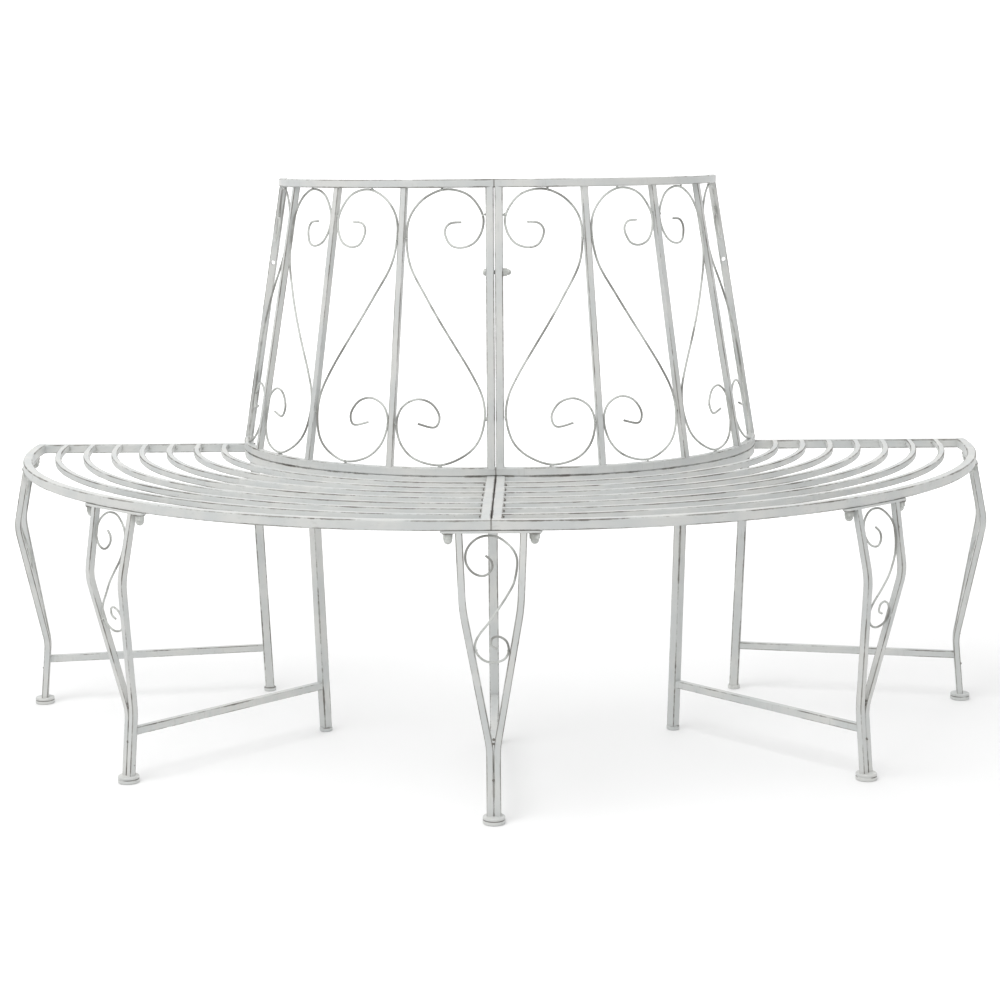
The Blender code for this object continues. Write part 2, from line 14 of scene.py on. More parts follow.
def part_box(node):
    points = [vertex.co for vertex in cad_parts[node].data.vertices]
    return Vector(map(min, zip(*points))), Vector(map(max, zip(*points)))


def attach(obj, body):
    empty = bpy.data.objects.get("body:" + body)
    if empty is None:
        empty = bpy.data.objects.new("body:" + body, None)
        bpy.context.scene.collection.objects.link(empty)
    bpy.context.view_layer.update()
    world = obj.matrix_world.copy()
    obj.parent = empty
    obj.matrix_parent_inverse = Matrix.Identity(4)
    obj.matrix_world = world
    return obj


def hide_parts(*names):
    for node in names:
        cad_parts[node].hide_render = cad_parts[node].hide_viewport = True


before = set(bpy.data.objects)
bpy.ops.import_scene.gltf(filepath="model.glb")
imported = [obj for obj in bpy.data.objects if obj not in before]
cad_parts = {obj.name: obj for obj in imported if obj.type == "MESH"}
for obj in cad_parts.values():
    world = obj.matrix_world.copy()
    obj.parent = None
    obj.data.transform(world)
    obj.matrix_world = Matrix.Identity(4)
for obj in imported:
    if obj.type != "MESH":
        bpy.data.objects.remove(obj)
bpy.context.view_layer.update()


# ---- Seat frames -------------------------------------------------------------------------------
# Each quarter of the seat is a frame of 15 mm square steel tube: an outer rim, an inner rim, a
# straight rail along the flat side and a rail at the seam, butted and welded, then painted
# off-white and rubbed back until the steel shows along the corners.
seat_low, seat_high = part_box("seat_frame_right")
HALF_WIDTH, REAR, SEAT_TOP = seat_high
SEAM_GAP = seat_low[0]
SEAT_TUBE = SEAT_TOP - seat_low[2]
RAIL_TUBE = SEAT_TUBE - 0.0002            # a hair narrower than the rims that it butts against
RIM_CENTRE = (0.0458, REAR - 0.0203)      # the rim's arc turns about a point off the seam
INNER_CENTRE = (0.0450, REAR)
INNER_END = 0.4374                        # how far out the inner rim stands at the flat side
RIM_RADIUS = HALF_WIDTH - RIM_CENTRE[0] - SEAT_TUBE / 2
INNER_RADIUS = INNER_END - INNER_CENTRE[0] - SEAT_TUBE / 2
RIM_STEPS = 72
TUBE_CORNER = 0.0021
CORNER_HOLD = 0.0004                      # from a round corner to the point that holds the flat

PAINT_COOL = (0.555, 0.572, 0.566, 1)
PAINT_WARM = (0.625, 0.628, 0.608, 1)
PAINT_GREY = (0.40, 0.41, 0.39, 1)
EDGE_GREY = (0.24, 0.235, 0.215, 1)
# the colour of bare steel, also used for painted shade: in the seam's groove, at the cap nuts'
# washers and on the dark beads at the seam
BARE_STEEL_AND_SHADE = (0.085, 0.072, 0.058, 1)


class Value:
    """An output in a node tree. Arithmetic on it adds Math nodes, and node() adds any other."""

    def __init__(self, output):
        self.output = output

    def node(self, kind, settings=None, inputs=None, out=0):
        return add_node(self.output.id_data, kind, settings, inputs, out)

    def arithmetic(self, operation, *values):
        return self.node("ShaderNodeMath", {"operation": operation}, dict(enumerate(values)))

    def math(self, operation, *others):
        return self.arithmetic(operation, self, *others)

    def axis(self, number):
        """One of the three numbers of a vector."""
        return self.node("ShaderNodeSeparateXYZ", None, {0: self}, number)

    def __add__(self, other):
        return self.math("ADD", other)

    __radd__ = __add__

    def __sub__(self, other):
        return self.math("SUBTRACT", other)

    def __rsub__(self, other):
        return self.arithmetic("SUBTRACT", other, self)

    def __mul__(self, other):
        return self.math("MULTIPLY", other)

    def __rtruediv__(self, other):
        return self.arithmetic("DIVIDE", other, self)

    def step(self, low, high):
        """0 below low, 1 above high, and a soft step between."""
        return self.node("ShaderNodeMapRange", {"interpolation_type": "SMOOTHSTEP"},
                         {"Value": self, "From Min": low, "From Max": high})

    def blend(self, first, second):
        """A colour that goes from first to second as this value goes from 0 to 1."""
        inputs = {0: self, 6: first, 7: second}
        return self.node("ShaderNodeMix", {"data_type": "RGBA"}, inputs, 2)


def add_node(tree, kind, settings=None, inputs=None, out=0):
    made = tree.nodes.new(kind)
    for name, value in (settings or {}).items():
        setattr(made, name, value)
    for name, value in (inputs or {}).items():
        if isinstance(value, Value):
            tree.links.new(value.output, made.inputs[name])
        else:
            made.inputs[name].default_value = value
    return Value(made.outputs[out])


def new_material(name):
    material = bpy.data.materials.new(name)
    material.use_nodes = True
    tree = material.node_tree
    return material, tree, tree.nodes["Principled BSDF"]


def connect(tree, shader, name, value):
    tree.links.new(value.output, shader.inputs[name])


def noise(place, scale, detail=3, roughness=0.55):
    return place.node("ShaderNodeTexNoise", None,
                      {"Vector": place, "Scale": scale, "Detail": detail, "Roughness": roughness})


def add_bump(tree, shader, height, strength, distance):
    inputs = {"Strength": strength, "Distance": distance, "Height": height}
    connect(tree, shader, "Normal", height.node("ShaderNodeBump", None, inputs))


def brushed_paint(place, along):
    """Off-white brushed paint: warm and cool patches, fine grey drag marks along the bar.

    along squeezes the marks on each axis, so it is smallest where they are long.
    """
    patches = noise(place, 14, 3).step(0.35, 0.68)
    paint = patches.blend(PAINT_COOL, PAINT_WARM)
    inputs = {"Vector": place, "Scale": along}
    drag = place.node("ShaderNodeMapping", {"vector_type": "POINT"}, inputs)
    marks = noise(drag, 190, 2, 0.7).step(0.52, 0.74) * noise(place, 37, 2).step(0.38, 0.62)
    return (marks * 0.30).blend(paint, PAINT_GREY)


def rubbed_tube_paint(name, along, rub=1.0, dark=None):
    """Paint on square tube, rubbed grey along its corners and here and there down to the steel.

    A greater rub takes more paint off. dark, when given, makes a second mask from the place, which
    is painted dark: the painted shade in the seam's groove, and dark parts of each foot's groove.
    """
    material, tree, shader = new_material(name)
    place = add_node(tree, "ShaderNodeTexCoord", out=3)
    section = add_node(tree, "ShaderNodeAttribute", {"attribute_name": "section"}, out=1)
    # 1 in the middle of a flat, near 2 at a corner
    corner = section.axis(0).math("ABSOLUTE") + section.axis(1).math("ABSOLUTE")
    ragged = noise(place, 85, 4, 0.7) * 0.30 + noise(place, 13, 2) * 0.46
    worn = (corner + ragged).step(2.18 - 0.05 * rub, 2.28 - 0.05 * rub)
    thin = (corner + ragged).step(1.95, 2.30)
    chips = noise(place, 62, 4, 0.65).step(0.715, 0.755) * noise(place, 9, 2).step(0.50, 0.62)
    paint = (thin * 0.25).blend(brushed_paint(place, along), PAINT_GREY)
    deep = noise(place, 24, 3, 0.6).step(0.47, 0.61)
    rubbed = deep.math("MAXIMUM", chips).blend(EDGE_GREY, BARE_STEEL_AND_SHADE)
    bare = worn.math("MAXIMUM", chips)
    colour = (bare * 0.85).blend(paint, rubbed)
    if dark:
        colour = (dark(place) * 0.7).blend(colour, BARE_STEEL_AND_SHADE)
    connect(tree, shader, "Base Color", colour)
    connect(tree, shader, "Roughness", noise(place, 60, 2) * 0.25 + 0.36 + worn * 0.15)
    height = noise(place, 240, 3, 0.6) * 0.5 + noise(place, 42, 2) - bare * 1.2
    add_bump(tree, shader, height, 0.35, 0.0004)
    return material


def seam_groove_shade(place):
    """1 in the narrow groove between the two halves of the bench, which is painted dark as shade.
    """
    return 1 - place.axis(0).math("ABSOLUTE").step(0.0005, 0.0016)


def square_section(width, corner):
    """The tube's outline: round corners, with a point close by each to keep the flats flat."""
    flat = width / 2 - corner
    points = []
    for turn in range(4):
        middle = radians(45 + 90 * turn)
        centre = Vector((flat if cos(middle) > 0 else -flat,
                         flat if sin(middle) > 0 else -flat))
        before = Vector((cos(middle - pi / 4), sin(middle - pi / 4)))
        after = Vector((cos(middle + pi / 4), sin(middle + pi / 4)))
        points.append(centre + before * corner - after * CORNER_HOLD)
        for i in range(4):
            angle = middle + radians(-45 + 30 * i)
            points.append(centre + Vector((cos(angle), sin(angle))) * corner)
        points.append(centre + after * corner - before * CORNER_HOLD)
    return points


def skin(bm, rings):
    """Faces from each ring of points to the next, and over the first and the last."""
    count = len(rings[0])
    for low, high in zip(rings, rings[1:]):
        for i in range(count):
            j = (i + 1) % count
            bm.faces.new((low[i], low[j], high[j], high[i]))
    bm.faces.new(rings[0][::-1])
    bm.faces.new(rings[-1])


def finished_mesh(bm, name, place=None):
    """A mesh of bm, with its faces turned outward, then put in place."""
    bmesh.ops.recalc_face_normals(bm, faces=bm.faces)
    if place is not None:
        bmesh.ops.transform(bm, matrix=place, verts=bm.verts)
    mesh = bpy.data.meshes.new(name)
    bm.to_mesh(mesh)
    bm.free()
    return mesh


class TubeWork:
    """A mesh of square tubes. Each point keeps where it lies on its tube's section."""

    def __init__(self):
        self.bm = bmesh.new()
        self.section = self.bm.verts.layers.float_vector.new("section")

    def tube(self, path, width, side, corner=TUBE_CORNER):
        """A closed bar along path. side is the way one of its flats faces."""
        outline = square_section(width, corner)
        path = [Vector(point) for point in path]
        rings = []
        for i, point in enumerate(path):
            along = (path[min(i + 1, len(path) - 1)] - path[max(i - 1, 0)]).normalized()
            across = (side - along * side.dot(along)).normalized()
            up = along.cross(across)
            ring = [self.bm.verts.new(point + across * x + up * y) for x, y in outline]
            for vert, (x, y) in zip(ring, outline):
                vert[self.section] = (2 * x / width, 2 * y / width, 0)
            rings.append(ring)
        skin(self.bm, rings)

    def add_mesh(self, mesh):
        self.bm.from_mesh(mesh)

    def finish(self, name, material, *nodes):
        show(name, finished_mesh(self.bm, name), material, *nodes)


def add_object(name, data):
    made = bpy.data.objects.new(name, data)
    bpy.context.scene.collection.objects.link(made)
    return made


def show(name, mesh, material, *nodes):
    """Puts a finished mesh in the scene for the CAD nodes it stands for."""
    mesh.materials.clear()
    mesh.materials.append(material)
    mesh.shade_smooth()
    mesh.set_sharp_from_angle(angle=radians(40))
    piece = add_object(name, mesh)
    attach(piece, "root")
    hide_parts(*nodes)
    return piece


def arc_path(centre, radius, start, end, height, sign, steps):
    """Points along an arc, angle 0 at the front and a quarter turn at the flat side."""
    path = []
    for i in range(steps + 1):
        angle = start + (end - start) * i / steps
        path.append((sign * (centre[0] + radius * sin(angle)), centre[1] - radius * cos(angle),
                     height))
    return path


def arc_start(centre, radius, seam_x):
    """The angle at which an arc is seam_x from the seam."""
    return -asin((centre[0] - seam_x) / radius)


def arc_end(centre, radius, rear_y):
    """The angle at which an arc reaches rear_y, near the flat side."""
    return pi / 2 + asin((rear_y - centre[1]) / radius)


# the seat's paint carries a painted shade down the groove at the seam
SEAT_PAINT = rubbed_tube_paint("seat_tube_paint", (0.25, 1, 1), dark=seam_groove_shade)
UP = Vector((0, 0, 1))
SIDES = (("left", -1), ("right", 1))
rail_height = SEAT_TOP - SEAT_TUBE / 2
rear_line = REAR - SEAT_TUBE / 2
inner_end = INNER_CENTRE[0] + INNER_RADIUS
rim_end = RIM_CENTRE[0] + RIM_RADIUS
rim_front = RIM_CENTRE[1] - RIM_RADIUS
inner_front = INNER_CENTRE[1] - INNER_RADIUS
for side, sign in SIDES:
    seat = TubeWork()
    for centre, radius in ((RIM_CENTRE, RIM_RADIUS), (INNER_CENTRE, INNER_RADIUS)):
        start = arc_start(centre, radius, SEAM_GAP)
        end = arc_end(centre, radius, REAR)
        path = arc_path(centre, radius, start, end, rail_height, sign, RIM_STEPS)
        seat.tube(path, SEAT_TUBE, UP)
    seat.tube([(sign * x, rear_line, rail_height) for x in (inner_end, rim_end)], RAIL_TUBE, UP)
    seam_line = sign * (SEAM_GAP + SEAT_TUBE / 2)
    seat.tube([(seam_line, y, rail_height) for y in (inner_front, rim_front)], RAIL_TUBE, UP)
    seat.finish(f"seat_frame_{side}_tubes", SEAT_PAINT, f"seat_frame_{side}")


# ---- Slats -------------------------------------------------------------------------------------
# Seven curved slats in each quarter, of 10 mm square tube bent on one former and welded between
# the seam rail and the straight rail, flush with their tops.
SLAT_COUNT = 7
SLAT_WIDTH = 0.010
SLAT_CORNER = 0.0016
SLAT_CENTRE = (0.0268, REAR)
FIRST_SLAT_END = 0.4726                   # how far out the first slat stands at the flat side
FIRST_SLAT = FIRST_SLAT_END - SLAT_CENTRE[0]
SLAT_PITCH = 0.0458
SLAT_START_X = SEAM_GAP + 0.011           # inside the seam rail
SLAT_END_Y = REAR - 0.005                 # inside the straight rail


class ShapeTree:
    """A Geometry Nodes tree with named inputs, and the mesh that it makes."""

    def __init__(self, name):
        self.tree = bpy.data.node_groups.new(name, "GeometryNodeTree")
        self.tree.interface.new_socket("Shape", in_out="INPUT", socket_type="NodeSocketGeometry")
        self.tree.interface.new_socket("Shape", in_out="OUTPUT", socket_type="NodeSocketGeometry")
        self.inputs = self.tree.nodes.new("NodeGroupInput")
        self.end = self.tree.nodes.new("NodeGroupOutput")

    def input(self, name, kind="Float"):
        self.tree.interface.new_socket(name, in_out="INPUT", socket_type="NodeSocket" + kind)
        return Value(self.inputs.outputs[name])

    def node(self, kind, settings=None, inputs=None, out=0):
        return add_node(self.tree, kind, settings, inputs, out)

    def finish(self, shape, material):
        whole = self.node("GeometryNodeRealizeInstances", None, {"Geometry": shape})
        painted = self.node("GeometryNodeSetMaterial", None,
                            {"Geometry": whole, "Material": material})
        self.tree.links.new(painted.output, self.end.inputs[0])

    def make(self, start_mesh, values):
        """Runs the tree on a mesh with these input values and returns the plain mesh."""
        maker = add_object("maker", start_mesh)
        modifier = maker.modifiers.new("shape", "NODES")
        modifier.node_group = self.tree
        for item in self.tree.interface.items_tree:
            if item.in_out == "INPUT" and item.name in values:
                modifier[item.identifier] = values[item.name]
        graph = bpy.context.evaluated_depsgraph_get()
        mesh = bpy.data.meshes.new_from_object(maker.evaluated_get(graph))
        bpy.data.objects.remove(maker, do_unlink=True)
        return mesh


def slat_tree():
    shape = ShapeTree("curved_slats")
    count = shape.input("Count", "Int")
    first = shape.input("First Radius")
    pitch = shape.input("Pitch")
    width = shape.input("Width")
    corner = shape.input("Corner")
    start = shape.input("Start Angle")
    sweep = shape.input("Sweep Angle")
    centre = shape.input("Centre", "Vector")
    mirror = shape.input("Mirror")
    material = shape.input("Material", "Material")

    arc = shape.node("GeometryNodeCurveArc", {"mode": "RADIUS"},
                     {"Resolution": 90, "Radius": 1.0, "Start Angle": start, "Sweep Angle": sweep})
    places = shape.node("GeometryNodePoints", None, {"Count": count})
    index = shape.node("GeometryNodeInputIndex")
    arcs = shape.node("GeometryNodeInstanceOnPoints", None,
                      {"Points": places, "Instance": arc, "Scale": first + pitch * index})
    arcs = shape.node("GeometryNodeRealizeInstances", None, {"Geometry": arcs})
    at = shape.node("GeometryNodeInputPosition")
    moved = shape.node("ShaderNodeVectorMath", {"operation": "ADD"}, {0: at, 1: centre})
    flip = shape.node("ShaderNodeCombineXYZ", None, {"X": mirror, "Y": 1.0, "Z": 1.0})
    placed = shape.node("ShaderNodeVectorMath", {"operation": "MULTIPLY"}, {0: moved, 1: flip})
    arcs = shape.node("GeometryNodeSetPosition", None, {"Geometry": arcs, "Position": placed})
    arcs = shape.node("GeometryNodeSetCurveNormal", {"mode": "Z_UP"}, {"Curve": arcs})

    square = shape.node("GeometryNodeCurvePrimitiveQuadrilateral", None,
                        {"Width": width, "Height": width})
    square = shape.node("GeometryNodeFilletCurve", {"mode": "POLY"},
                        {"Curve": square, "Radius": corner, "Count": 3})
    scaled = shape.node("ShaderNodeVectorMath", {"operation": "SCALE"},
                        {0: at, "Scale": 2.0 / width})
    square = shape.node("GeometryNodeStoreNamedAttribute", {"data_type": "FLOAT_VECTOR"},
                        {"Geometry": square, "Name": "section", "Value": scaled})
    bars = shape.node("GeometryNodeCurveToMesh", None,
                      {"Curve": arcs, "Profile Curve": square, "Fill Caps": True})
    shape.finish(bars, material)
    return shape


SLAT_PAINT = rubbed_tube_paint("slat_tube_paint", (0.25, 1, 1), 1.9)
SLATS = slat_tree()
slat_start = arc_start(SLAT_CENTRE, FIRST_SLAT, SLAT_START_X)
slat_end = arc_end(SLAT_CENTRE, FIRST_SLAT, SLAT_END_Y)
for side, sign in SIDES:
    mesh = SLATS.make(bpy.data.meshes.new("start"), {
        "Count": SLAT_COUNT, "First Radius": FIRST_SLAT, "Pitch": SLAT_PITCH, "Width": SLAT_WIDTH,
        "Corner": SLAT_CORNER, "Start Angle": slat_start - pi / 2,
        "Sweep Angle": slat_end - slat_start, "Mirror": float(sign), "Material": SLAT_PAINT,
        "Centre": (*SLAT_CENTRE, SEAT_TOP - SLAT_WIDTH / 2)})
    nodes = [f"seat_slat_{side}_{number}" for number in range(1, SLAT_COUNT + 1)]
    show(f"seat_slats_{side}", mesh, SLAT_PAINT, *nodes)


# ---- Backrest frames ---------------------------------------------------------------------------
# Each quarter of the backrest is a frame of 13 mm square tube with three 10 mm bars, narrower at
# the top than at the foot. It is bolted to its neighbour at the seam, and its end post has the
# open hole for the bolt to the other half of a full round bench.
back_low, back_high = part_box("backrest_frame_right")
BACK_TUBE = 0.013
POST_TUBE = BACK_TUBE - 0.0003            # a hair narrower than the rails that it butts against
BACK_BAR = 0.010
BAR_CORNER = 0.0012
BACK_TOP = back_high[2]
LOW_RAIL_TOP = back_low[2] + BACK_TUBE
HIGH_RAIL_BOTTOM = BACK_TOP - BACK_TUBE
LOW_RADIUS = back_high[0] - INNER_CENTRE[0] - BACK_TUBE / 2
HIGH_END = 0.3679                         # how far out the top rail stands at the flat side
HIGH_RADIUS = HIGH_END - INNER_CENTRE[0] - BACK_TUBE / 2
BACK_STEPS = 56
INTO_RAIL = 0.004                         # how far a post or bar runs into the rails
# each bar's degrees round from the front, at the foot and at the top
BAR_ANGLES = [(18.1, 17.3), (41.1, 39.8), (64.3, 61.8)]
BOLT_HEIGHT = 0.743
HOLE_RADIUS = 0.0035


def back_share(height):
    """0 at the foot of the backrest's bays and 1 at their top."""
    return (height - LOW_RAIL_TOP) / (HIGH_RAIL_BOTTOM - LOW_RAIL_TOP)


def back_radius(height):
    return LOW_RADIUS + (HIGH_RADIUS - LOW_RADIUS) * back_share(height)


def back_point(angle, height, sign):
    radius = back_radius(height)
    return Vector((sign * (INNER_CENTRE[0] + radius * sin(angle)),
                   INNER_CENTRE[1] - radius * cos(angle), height))


def seam_angle(height, off_seam):
    return arc_start(INNER_CENTRE, back_radius(height), off_seam)


def end_angle(height, off_rear):
    return arc_end(INNER_CENTRE, back_radius(height), REAR - off_rear)


def bar_angle(number, height):
    foot, top = BAR_ANGLES[number]
    return radians(foot + (top - foot) * back_share(height))


def drilled_post(path, width, side, hole):
    """A square post with a round bolt hole through it, front to back."""
    post = TubeWork()
    post.tube(path, width, side)
    blank = add_object("blank", finished_mesh(post.bm, "post"))
    bm = bmesh.new()
    bmesh.ops.create_cone(bm, cap_ends=True, segments=24, radius1=HOLE_RADIUS, radius2=HOLE_RADIUS,
                          depth=2 * width, matrix=Matrix.Rotation(pi / 2, 4, "X"))
    drill = add_object("drill", finished_mesh(bm, "drill", Matrix.Translation(hole)))
    cut = blank.modifiers.new("cut", "BOOLEAN")
    cut.operation = "DIFFERENCE"
    cut.object = drill
    bpy.context.view_layer.update()
    graph = bpy.context.evaluated_depsgraph_get()
    result = bpy.data.meshes.new_from_object(blank.evaluated_get(graph))
    for shape in (blank, drill):
        bpy.data.objects.remove(shape, do_unlink=True)
    return result


# the backrest's paint carries a painted shade down the groove at the seam
BACK_PAINT = rubbed_tube_paint("backrest_tube_paint", (1, 1, 0.25), dark=seam_groove_shade)
for side, sign in SIDES:
    back = TubeWork()
    for radius, height in ((LOW_RADIUS, LOW_RAIL_TOP - BACK_TUBE / 2),
                           (HIGH_RADIUS, BACK_TOP - BACK_TUBE / 2)):
        start = arc_start(INNER_CENTRE, radius, SEAM_GAP)
        end = arc_end(INNER_CENTRE, radius, REAR)
        path = arc_path(INNER_CENTRE, radius, start, end, height, sign, BACK_STEPS)
        back.tube(path, BACK_TUBE, UP)
    heights = (LOW_RAIL_TOP - INTO_RAIL, HIGH_RAIL_BOTTOM + INTO_RAIL)
    seam_post = [back_point(seam_angle(h, SEAM_GAP + BACK_TUBE / 2), h, sign) for h in heights]
    back.tube(seam_post, POST_TUBE, Vector((1, 0, 0)))
    for number in range(len(BAR_ANGLES)):
        bar = [back_point(bar_angle(number, h), h, sign) for h in heights]
        facing = bar_angle(number, BOLT_HEIGHT)
        back.tube(bar, BACK_BAR, Vector((sign * sin(facing), -cos(facing), 0)), BAR_CORNER)
    end_post = [back_point(end_angle(h, BACK_TUBE / 2), h, sign) for h in heights]
    hole = back_point(end_angle(BOLT_HEIGHT, BACK_TUBE / 2), BOLT_HEIGHT, sign)
    back.add_mesh(drilled_post(end_post, POST_TUBE, Vector((0, 1, 0)), hole))
    back.finish(f"backrest_frame_{side}_tubes", BACK_PAINT, f"backrest_frame_{side}")


# ---- Backrest scrolls --------------------------------------------------------------------------
# One S of 3.6 mm round wire in each bay, rolled at both ends and welded where it touches the posts,
# bars and rails. Every second one is turned over, so that the curls face each other.
BACK_WIRE = 0.0018                        # radius
BACK_WIRE_STEP = 0.003                    # along the wire
WIRE_PAINT_LIGHT = (0.56, 0.575, 0.55, 1)
WIRE_PAINT_DARK = (0.24, 0.24, 0.225, 1)
# in a bay one unit wide and one unit high, from the curl at the top to the curl at the foot
BACK_SCROLL = [(0.29, 0.88), (0.44, 0.875), (0.50, 0.845), (0.43, 0.80), (0.29, 0.788),
               (0.13, 0.805), (0.03, 0.85), (0.02, 0.905), (0.15, 0.965), (0.33, 0.993),
               (0.56, 0.996), (0.80, 0.962), (0.96, 0.90), (0.99, 0.82), (0.92, 0.72),
               (0.71, 0.61), (0.53, 0.52), (0.345, 0.43), (0.16, 0.335), (0.035, 0.25),
               (0.01, 0.17), (0.08, 0.088), (0.24, 0.035), (0.49, 0.004), (0.76, 0.023),
               (0.93, 0.075), (0.995, 0.15), (0.94, 0.21), (0.78, 0.24), (0.61, 0.227),
               (0.51, 0.18), (0.56, 0.14), (0.75, 0.152)]


def rubbed_wire_paint(name):
    """Thin paint on wire: greyer than the tubes, with dark rubbed spots all round."""
    material, tree, shader = new_material(name)
    place = add_node(tree, "ShaderNodeTexCoord", out=3)
    paint = noise(place, 15, 3, 0.65).step(0.36, 0.58).blend(WIRE_PAINT_DARK, WIRE_PAINT_LIGHT)
    worn = noise(place, 120, 4, 0.7).step(0.56, 0.70) * noise(place, 16, 2).step(0.38, 0.60)
    connect(tree, shader, "Base Color", (worn * 0.75).blend(paint, BARE_STEEL_AND_SHADE))
    connect(tree, shader, "Roughness", 0.42 + worn * 0.2)
    add_bump(tree, shader, noise(place, 300, 3), 0.3, 0.0003)
    return material


def wire_tree():
    shape = ShapeTree("rolled_wire")
    path = Value(shape.inputs.outputs["Shape"])
    radius = shape.input("Radius")
    spacing = shape.input("Spacing")
    material = shape.input("Material", "Material")
    curve = shape.node("GeometryNodeMeshToCurve", None, {"Mesh": path})
    curve = shape.node("GeometryNodeCurveSplineType", {"spline_type": "CATMULL_ROM"},
                       {"Curve": curve})
    curve = shape.node("GeometryNodeSetSplineResolution", None,
                       {"Geometry": curve, "Resolution": 16})
    curve = shape.node("GeometryNodeResampleCurve", {"mode": "LENGTH"},
                       {"Curve": curve, "Length": spacing})
    circle = shape.node("GeometryNodeCurvePrimitiveCircle", None,
                        {"Resolution": 14, "Radius": radius})
    wire = shape.node("GeometryNodeCurveToMesh", None,
                      {"Curve": curve, "Profile Curve": circle, "Fill Caps": True})
    shape.finish(wire, material)
    return shape


def path_mesh(points):
    """A mesh that is only a line of edges through the points."""
    mesh = bpy.data.meshes.new("path")
    mesh.from_pydata(points, [(i, i + 1) for i in range(len(points) - 1)], [])
    return mesh


WIRE_PAINT = rubbed_wire_paint("scroll_wire_paint")
WIRE = wire_tree()
back_touches = []                         # where a scroll meets a post, bar or rail
bay_count = len(BAR_ANGLES) + 1
reach = HIGH_RAIL_BOTTOM - LOW_RAIL_TOP - 2 * BACK_WIRE
for side, sign in SIDES:
    for bay in range(1, bay_count + 1):
        points = []
        for across, up in BACK_SCROLL:
            height = LOW_RAIL_TOP + BACK_WIRE + reach * up
            to_bar = (BACK_BAR / 2 + BACK_WIRE) / back_radius(height)
            if bay == 1:
                start = seam_angle(height, SEAM_GAP + BACK_TUBE + BACK_WIRE)
            else:
                start = bar_angle(bay - 2, height) + to_bar
            if bay == bay_count:
                end = end_angle(height, BACK_TUBE + BACK_WIRE)
            else:
                end = bar_angle(bay - 1, height) - to_bar
            share = across if bay % 2 else 1 - across
            angle = start + (end - start) * share
            points.append(back_point(angle, height, sign))
            # only the outermost points of the S lie against the frame
            if across < 0.025 or across > 0.985:
                toward = BACK_WIRE / back_radius(height) * (1 if share > 0.5 else -1)
                back_touches.append(back_point(angle + toward, height, sign))
            if up < 0.005 or up > 0.995:
                back_touches.append(points[-1] + UP * (BACK_WIRE if up > 0.5 else -BACK_WIRE))
        mesh = WIRE.make(path_mesh(points), {"Radius": BACK_WIRE, "Spacing": BACK_WIRE_STEP,
                                             "Material": WIRE_PAINT})
        node = f"backrest_scroll_{side}_{bay}"
        show(node + "_wire", mesh, WIRE_PAINT, node)


# ---- Seam bolt and nut -------------------------------------------------------------------------
# An M6 bolt through both seam posts, with its round head on the left and a dome nut on the right,
# both brushed over with the same paint.
FASTENER_PAINT_LIGHT = (0.60, 0.615, 0.59, 1)
BOLT_FACE = SEAM_GAP + BACK_TUBE          # where the head and the nut sit, measured from the seam
SHANK_RADIUS = 0.003
SHANK_END = BOLT_FACE + 0.004             # inside the nut
# the head, as (radius, distance from the face)
HEAD_PROFILE = [(0, 0.0045), (0.0030, 0.0042), (0.0048, 0.0030), (0.0056, 0.0012), (0.0056, 0)]
NUT_WASHER = 0.0064                       # radius
NUT_BOTTOM = BOLT_FACE + 0.0010           # on the washer
NUT_TOP = BOLT_FACE + 0.0062
NUT_FLATS = 0.0105
DOME_RADIUS = 0.0046
DOME_HEIGHT = 0.0062
DOME_BOTTOM = NUT_TOP - 0.0002            # just inside the hexagon
WASHER_HEIGHT = SEAT_TOP - SEAT_TUBE - 0.0038     # the washers under the front legs' plates


def fastener_paint(name):
    """Paint over zinc: mid grey, with darker worn spots and painted shade at the washers."""
    material, tree, shader = new_material(name)
    place = add_node(tree, "ShaderNodeTexCoord", out=3)
    paint = noise(place, 90, 3).step(0.35, 0.65).blend(PAINT_GREY, FASTENER_PAINT_LIGHT)
    worn = noise(place, 210, 4, 0.7).step(0.55, 0.68)
    # a band of painted shade at the washers under the rim, where each cap nut meets its plate
    washer = 1 - (place.axis(2) - WASHER_HEIGHT).math("ABSOLUTE").step(0.0006, 0.0012)
    dark = (worn * 0.3).math("MAXIMUM", washer * 0.75)
    connect(tree, shader, "Base Color", dark.blend(paint, BARE_STEEL_AND_SHADE))
    connect(tree, shader, "Roughness", 0.36 + worn * 0.2)
    add_bump(tree, shader, noise(place, 420, 2), 0.25, 0.0002)
    return material


def turned(profile, place, steps=28):
    """A mesh turned about its own Z from (radius, height) points, then put in place."""
    bm = bmesh.new()
    verts = [bm.verts.new((radius, 0, height)) for radius, height in profile]
    edges = [bm.edges.new(pair) for pair in zip(verts, verts[1:])]
    bmesh.ops.spin(bm, geom=verts + edges, cent=(0, 0, 0), axis=(0, 0, 1), angle=2 * pi,
                   steps=steps, use_merge=True)
    bmesh.ops.remove_doubles(bm, verts=bm.verts, dist=0.00002)
    return finished_mesh(bm, "turned", place)


def hexagon(across_flats, bottom, top, place):
    """A nut's hexagon, with its six corners chamfered at the top."""
    radius = across_flats / 2 / cos(pi / 6)
    bm = bmesh.new()
    rings = []
    for size, height in ((radius, bottom), (radius, top - 0.001), (radius * 0.88, top)):
        rings.append([bm.verts.new((size * cos(i * pi / 3), size * sin(i * pi / 3), height))
                      for i in range(6)])
    skin(bm, rings)
    return finished_mesh(bm, "hexagon", place)


def joined(*meshes):
    bm = bmesh.new()
    for mesh in meshes:
        bm.from_mesh(mesh)
    return finished_mesh(bm, "joined")


def dome(radius, bottom, height):
    """The profile of a dome nut's cap: a short neck and a round top."""
    profile = [(0, bottom), (radius, bottom)]
    for i in range(8):
        angle = pi / 2 * i / 7
        profile.append((radius * cos(angle), bottom + height * 0.25 + height * 0.75 * sin(angle)))
    return profile


